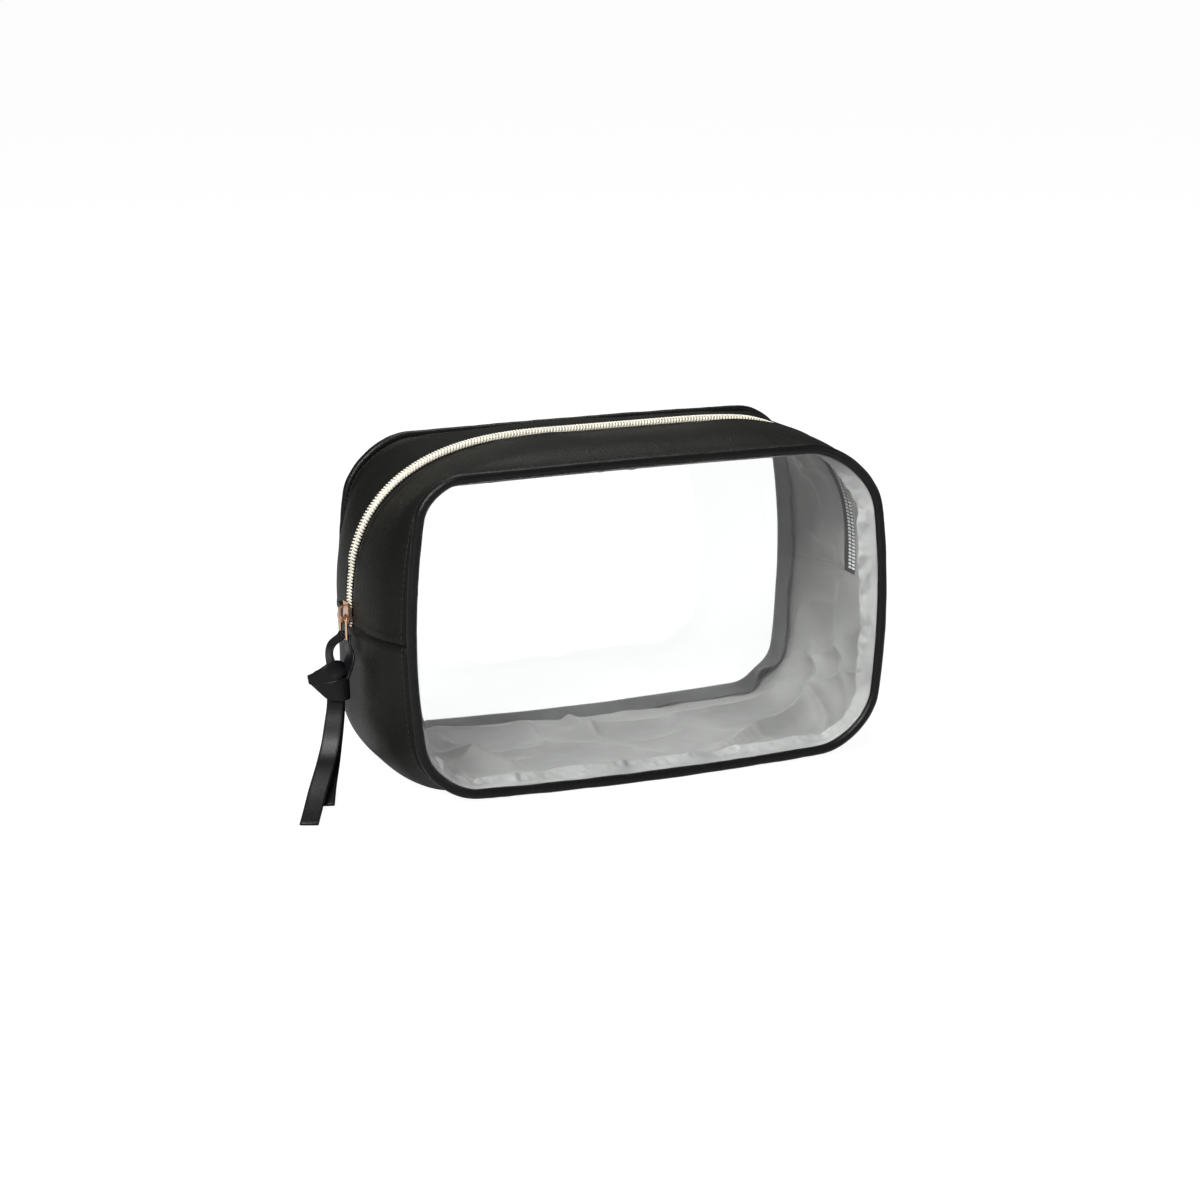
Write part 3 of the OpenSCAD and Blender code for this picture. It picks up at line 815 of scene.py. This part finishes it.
def all_stitches():
    """The topstitching beside the pipings, and the coils' stitching inside."""
    for side, word in ((-1, "front"), (1, "back")):
        for top in (True, False):
            y = side * (SEAM_Y - SEAM_RIDGE - 0.8 * MM)
            p, n = wall(np.array([y - 0.5 * MM, y, y + 0.5 * MM]), 600, top)
            relief = leather_relief(p, SEAM_Y - np.abs(p[..., 1]), top)[:, 1:2]
            row = p[:, 1] + n[:, 1] * (relief + 0.02 * MM)
            row[:, 2] = np.maximum(row[:, 2], 0.3 * MM)
            stitches(f"topstitch_{word}_{'upper' if top else 'lower'}", row, n[:, 1], 3 * MM, 0.2 * MM,
                     BLACK_THREAD, "leather", None if top and side < 0 else "bag")
        for far in (1.2, 2.7):
            y = side * far * MM
            p, n = wall(np.array([y - 0.3 * MM, y, y + 0.3 * MM]), 500, True)
            row = p[:, 1] - n[:, 1] * (TAPE_DEPTH + TAPE_T + 0.08 * MM)
            stitches(f"coil_stitch_{word}_{int(far)}", row, -n[:, 1], 1.8 * MM, 0.42 * MM, PALE_THREAD,
                     "zip_tape", None if side < 0 else "bag")


# --- Slider, strap and knot --------------------------------------------------


def finish_metal():
    """The kept CAD pieces of the zipper: rose gold, with their edges a little rounded."""
    for name, material in (("slider", ROSE_GOLD), ("pull_ring", ROSE_GOLD), ("zip_end_stop", COIL)):
        obj = frame["nodes"][name]
        for place_for_material in obj.material_slots:
            place_for_material.material = material
        edge = obj.modifiers.new("edges", "BEVEL")
        edge.width, edge.segments, edge.limit_method = 0.2 * MM, 2, "ANGLE"
        edge.angle_limit = math.radians(35)


STRAP_W, STRAP_T = 7.6 * MM, 1.2 * MM
RING_BAR_R = 0.65 * MM
LOOP_ROOM = 0.35 * MM                     # between the ring's bar and the strap round it
KNOT = np.array([-143.5, -5.5, 52.3]) * MM
KNOT_WAYS = np.array([[0.927, -0.374, 0], [0, 0, 1], [-0.374, -0.927, 0]])
TAIL_SIDE = np.array([0.907, -0.421, 0])
FRONT_ROUTE = [(-141.9, -7.7, 44.8), (-142.3, -8.5, 39.4), (-143.5, -9.9, 33.9), (-146.2, -12.8, 24.2),
               (-150.6, -18.1, 15.8), (-157.7, -29.4, 8), (-164, -42.6, 3.6), (-169.8, -56, 1.4)]
REAR_ROUTE = [(-140.1, -4.4, 44.8), (-140.5, -4.9, 39.4), (-141.5, -5.9, 33.9), (-143.3, -7.3, 24.1),
              (-146, -11.2, 14.5), (-150.7, -20.6, 6.3), (-155.6, -33.5, 1.7)]


def tail(name, route, node_name):
    """One tail of the strap, from inside the knot to its cut end near the floor."""
    inside = np.array(route[0]) + (0.3, 1.0, 4)
    line = smooth_line(np.vstack([inside, route]) * MM, 60)
    across = np.broadcast_to(TAIL_SIDE, line.shape)
    squeeze = 1 - 0.18 * bell(lengths(line), 0.012)
    rings = flat_rings(line, across, STRAP_W * squeeze, STRAP_T, 8)
    rings[..., 2] = np.maximum(rings[..., 2], 0.1 * MM)
    piece = tube_piece(rings, STRAP_LEATHER, "strap", name=name, body="strap", nodes=(node_name,))


def ribbon(name, pairs, count, **more):
    """A strap given by pairs of points on its two edges, in the knot's own directions, in mm."""
    pairs = np.array(pairs, float)
    edges = [KNOT + smooth_line(pairs[:, k], count) @ KNOT_WAYS * MM for k in (0, 1)]
    share = np.linspace(0, 1, 7)[None, :, None]
    outer = edges[0][:, None] * (1 - share) + edges[1][:, None] * share
    n = unit(np.cross(np.gradient(outer, axis=0), np.gradient(outer, axis=1)))
    tube_piece(slab_rings(outer, n, STRAP_T), STRAP_LEATHER, "strap", name=name, body="strap", **more)


def knot():
    """The overhand knot: a band round the front, the fold at its left, and the core inside."""
    ribbon("knot_band", [((3, 2, -5), (4, -6, -4.5)), ((8.2, 2.2, -2.5), (8.6, -7.4, -2)),
                         ((8.6, 1.7, 1.5), (9.0, -8.0, 1.8)), ((3.5, 0.8, 4.4), (5, -8.4, 4.4)),
                         ((-3.0, -0.7, 4.0), (-0.5, -7.8, 4.0)), ((-7.2, -1.3, 1.9), (-5.2, -4.6, 2.2)),
                         ((-9.4, -0.9, 0.2), (-9.0, -1.8, 0.2))], 50, nodes=("strap_knot",))
    ribbon("knot_fold", [((-9.8, 2.3, 0.2), (-9.2, -0.9, 0.4)), ((-6.5, 4.2, 1.8), (-5.4, -1.1, 2.2)),
                         ((-2.6, 7.0, 2.4), (0.5, 0.2, 3.2)), ((-0.5, 8.2, 1.6), (4.1, 1.6, 3.0)),
                         ((2.5, 8.8, -0.5), (7.0, 3.4, 1.0)), ((5.0, 7.6, -3.5), (8.2, 3.0, -2.5))], 50)
    ribbon("knot_back", [((-9.6, 2.0, -0.6), (-9.0, -1.6, -0.6)), ((-6, 4.0, -2.6), (-5, -3.6, -2.6)),
                         ((0, 5.5, -4.4), (0, -6.5, -4.2)), ((4.5, 5.5, -4.8), (4.5, -6.5, -4.4))], 40)
    steps, sides = 14, 20
    q = np.linspace(0.06, math.pi - 0.06, steps)
    turn = np.linspace(0, 2 * math.pi, sides, endpoint=False)
    ball = np.stack([np.sin(q)[:, None] * np.cos(turn) * 5.4 + 2.6,
                     np.broadcast_to(np.cos(q)[:, None] * 7.2, (steps, sides)),
                     np.sin(q)[:, None] * np.sin(turn) * 3.2 - 0.2], -1)
    tube_piece(KNOT + ball @ KNOT_WAYS * MM, STRAP_LEATHER, "strap", name="knot_core", body="strap")


def strap_loop():
    """The strap's loop, from the knot up round the ring's bar and back into the knot."""
    ring_lo, ring_hi = (np.array(c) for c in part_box("pull_ring"))
    bar = np.array([(ring_lo[0] + ring_hi[0]) / 2, 0, ring_lo[2] + RING_BAR_R]) / MM
    over = (RING_BAR_R + LOOP_ROOM + STRAP_T / 2) / MM
    bend = [bar + (over * math.cos(q), 0, over * math.sin(q)) for q in np.radians([170, 130, 90, 50, 10])]
    left = [(-140.5, -6.0, 53.7), (-142.3, -4.6, 59.7), (-142.6, -2.6, 64.6), (-140.6, -1.0, 68.6)]
    right = [(-133.4, -1.6, 68.6), (-133.3, -4.2, 64.1), (-134.7, -6.6, 59.7), (-137.7, -7.6, 53.7)]
    line = smooth_line(np.array(left + [tuple(b) for b in bend] + right) * MM, 110)
    near_knot = smooth_step(-line[:, 2], -0.067, -0.055)[:, None]
    across = np.array([0, 1.0, 0]) * (1 - 0.5 * near_knot) - TAIL_SIDE * 0.5 * near_knot
    width = STRAP_W * (1 - 0.25 * near_knot[:, 0])
    rings = flat_rings(line, across, width, STRAP_T, 8)
    piece = tube_piece(rings, STRAP_LEATHER, "strap", name="strap_loop_band", body="strap",
                       nodes=("strap_loop",))


def seam_tab():
    """The folded end of the seam's tape, pressed against the strip beside the zipper."""
    lo, hi = (np.array(c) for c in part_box("seam_tab"))
    zs = np.linspace(lo[2], hi[2], 9)
    ys = np.linspace(lo[1] + 0.5 * MM, hi[1] - 0.5 * MM, 9)
    outer = np.empty((len(ys), len(zs), 3))
    for i, y in enumerate(ys):
        sag = SIDE_CROWN * (crown(0) - crown(y))
        lift = 0.9 * MM + 0.35 * MM * np.sin((zs - lo[2]) / (hi[2] - lo[2]) * math.pi)
        outer[i] = np.stack([sag - lift - GUSSET_HI[0], np.full(len(zs), y), zs], 1)
    n = np.broadcast_to(np.array([-1.0, 0, 0]), outer.shape)
    tube_piece(slab_rings(outer, n, 0.8 * MM), LEATHER, "leather", name="seam_tab_fold", body="bag",
               nodes=("seam_tab",))


# --- Camera, floor and light -------------------------------------------------


AIM = (0, 0, 0.0764)                      # what the camera looks at
LAMPS = (("key", (-1.1, -1.2, 1.3), 0.8, 44), ("top", (0.1, 0.5, 1.6), 0.9, 12),
         ("side", (1.6, -0.9, 0.7), 0.7, 4))   # where each is, its width and its power
LAMP_AIM = (0, 0, 0.08)
FLOOR_SIZE = 16.0                         # from its middle to its edge
FLOOR_WHITE = 0.77                        # how much of the floor's look is plain white
SURROUND_LIGHT = 0.12
SEEN_STRENGTH = 1.25


def camera():
    """The picture's view: azimuth and elevation in degrees, and a little roll."""
    azimuth, elevation, roll, distance = (math.radians(-22.0), math.radians(14.2),
                                          math.radians(-0.33), 1.364)
    back = np.array([math.sin(azimuth) * math.cos(elevation),
                     -math.cos(azimuth) * math.cos(elevation), math.sin(elevation)])
    right = unit(np.cross(-back, [0, 0, 1]))
    up = np.cross(back, right)
    side = math.cos(roll) * right + math.sin(roll) * up
    over = math.cos(roll) * up - math.sin(roll) * right
    data = bpy.data.cameras.new("camera")
    data.lens, data.sensor_width, data.clip_start = 84.85, 36, 0.05
    data.shift_x, data.shift_y = -0.0097, -0.0020
    obj = bpy.data.objects.new("camera", data)
    turned = Matrix(np.stack([side, over, back], 1).tolist()).to_4x4()
    turned.translation = (np.array(AIM) + back * distance).tolist()
    obj.matrix_world = turned
    scene.collection.objects.link(obj)
    scene.camera = obj


def soft_light(name, place_at, size, power):
    """A round lamp of that width and power, turned towards the bag."""
    data = bpy.data.lights.new(name, "AREA")
    data.shape, data.size, data.energy = "DISK", size, power
    obj = bpy.data.objects.new(name, data)
    z = unit(np.array(place_at, float) - LAMP_AIM)
    x = unit(np.cross([0, 0, 1], z))
    turned = Matrix(np.stack([x, np.cross(z, x), z], 1).tolist()).to_4x4()
    turned.translation = place_at
    obj.matrix_world = turned
    scene.collection.objects.link(obj)


def seen_white(tree, dim, white):
    """A share of white where the eye sees it, straight or through the windows, and dim as a light.
    A ray that has left cloth or leather sees only the dim light, also through a window."""
    ray = node(tree, "LightPath")
    seen = node(tree, "Math", {0: ray.outputs["Is Camera Ray"], 1: ray.outputs["Is Transmission Ray"]},
                operation="MAXIMUM")
    straight = node(tree, "Math", {0: ray.outputs["Diffuse Depth"], 1: 0.5}, operation="LESS_THAN")
    both = node(tree, "Math", {0: seen.outputs["Value"], 1: straight.outputs["Value"]},
                operation="MULTIPLY")
    share = node(tree, "Math", {0: both.outputs["Value"], 1: white}, operation="MULTIPLY")
    bright = node(tree, "Emission", {"Color": (1, 1, 1, 1), "Strength": SEEN_STRENGTH})
    return node(tree, "MixShader", {0: share.outputs["Value"], 1: dim, 2: bright.outputs[0]}).outputs[0]


def studio():
    """A pale floor that runs out to a white surround, and soft lights."""
    mesh = bpy.data.meshes.new("floor")
    corners = [(x * FLOOR_SIZE, y * FLOOR_SIZE, 0) for x, y in ((-1, -1), (1, -1), (1, 1), (-1, 1))]
    mesh.from_pydata(corners, [], [(0, 1, 2, 3)])
    material, tree, shader = new_material("pale_floor", Roughness=0.9, Base_Color=grey(0.6))
    tree.links.new(seen_white(tree, shader.outputs[0], FLOOR_WHITE),
                   tree.nodes["Material Output"].inputs["Surface"])
    mesh.materials.append(material)
    floor = bpy.data.objects.new("floor", mesh)
    floor.location.z = -0.0002
    scene.collection.objects.link(floor)
    world = bpy.data.worlds.new("white_surround")
    world.use_nodes = True
    tree = world.node_tree
    dim = tree.nodes["Background"]
    dim.inputs["Color"].default_value = (1, 1, 1, 1)
    dim.inputs["Strength"].default_value = SURROUND_LIGHT
    tree.links.new(seen_white(tree, dim.outputs[0], 1.0), tree.nodes["World Output"].inputs["Surface"])
    scene.world = world
    scene.view_settings.view_transform = "Standard"
    for name, place_at, size, power in LAMPS:
        soft_light(name, place_at, size, power)


# --- Everything --------------------------------------------------------------

camera()
tail("strap_tail_near", FRONT_ROUTE, "strap_tail_front")
tail("strap_tail_far", REAR_ROUTE, "strap_tail_rear")
strap_loop()
knot()
finish_metal()
seam_tab()
for side_of_bag in (-1, 1):
    window(side_of_bag)
    piping(side_of_bag)
    filler(side_of_bag)
    seam_binding(side_of_bag)
    gusset_upper(side_of_bag)
    zip_tape(side_of_bag)
    zip_coil(side_of_bag)
gusset_lower()
LINING_END = SEAM_Y - 1.4 * MM
lining("lining_front", np.linspace(-LINING_END, -6 * MM, 40), True, None, ("lining_front_upper",))
lining("lining_back", np.linspace(6 * MM, LINING_END, 40), True, "bag", ("lining_back_upper",))
lining("lining_lower", np.linspace(-LINING_END, LINING_END, 110), False, "bag", ("lining_bottom",))
all_stitches()
studio()
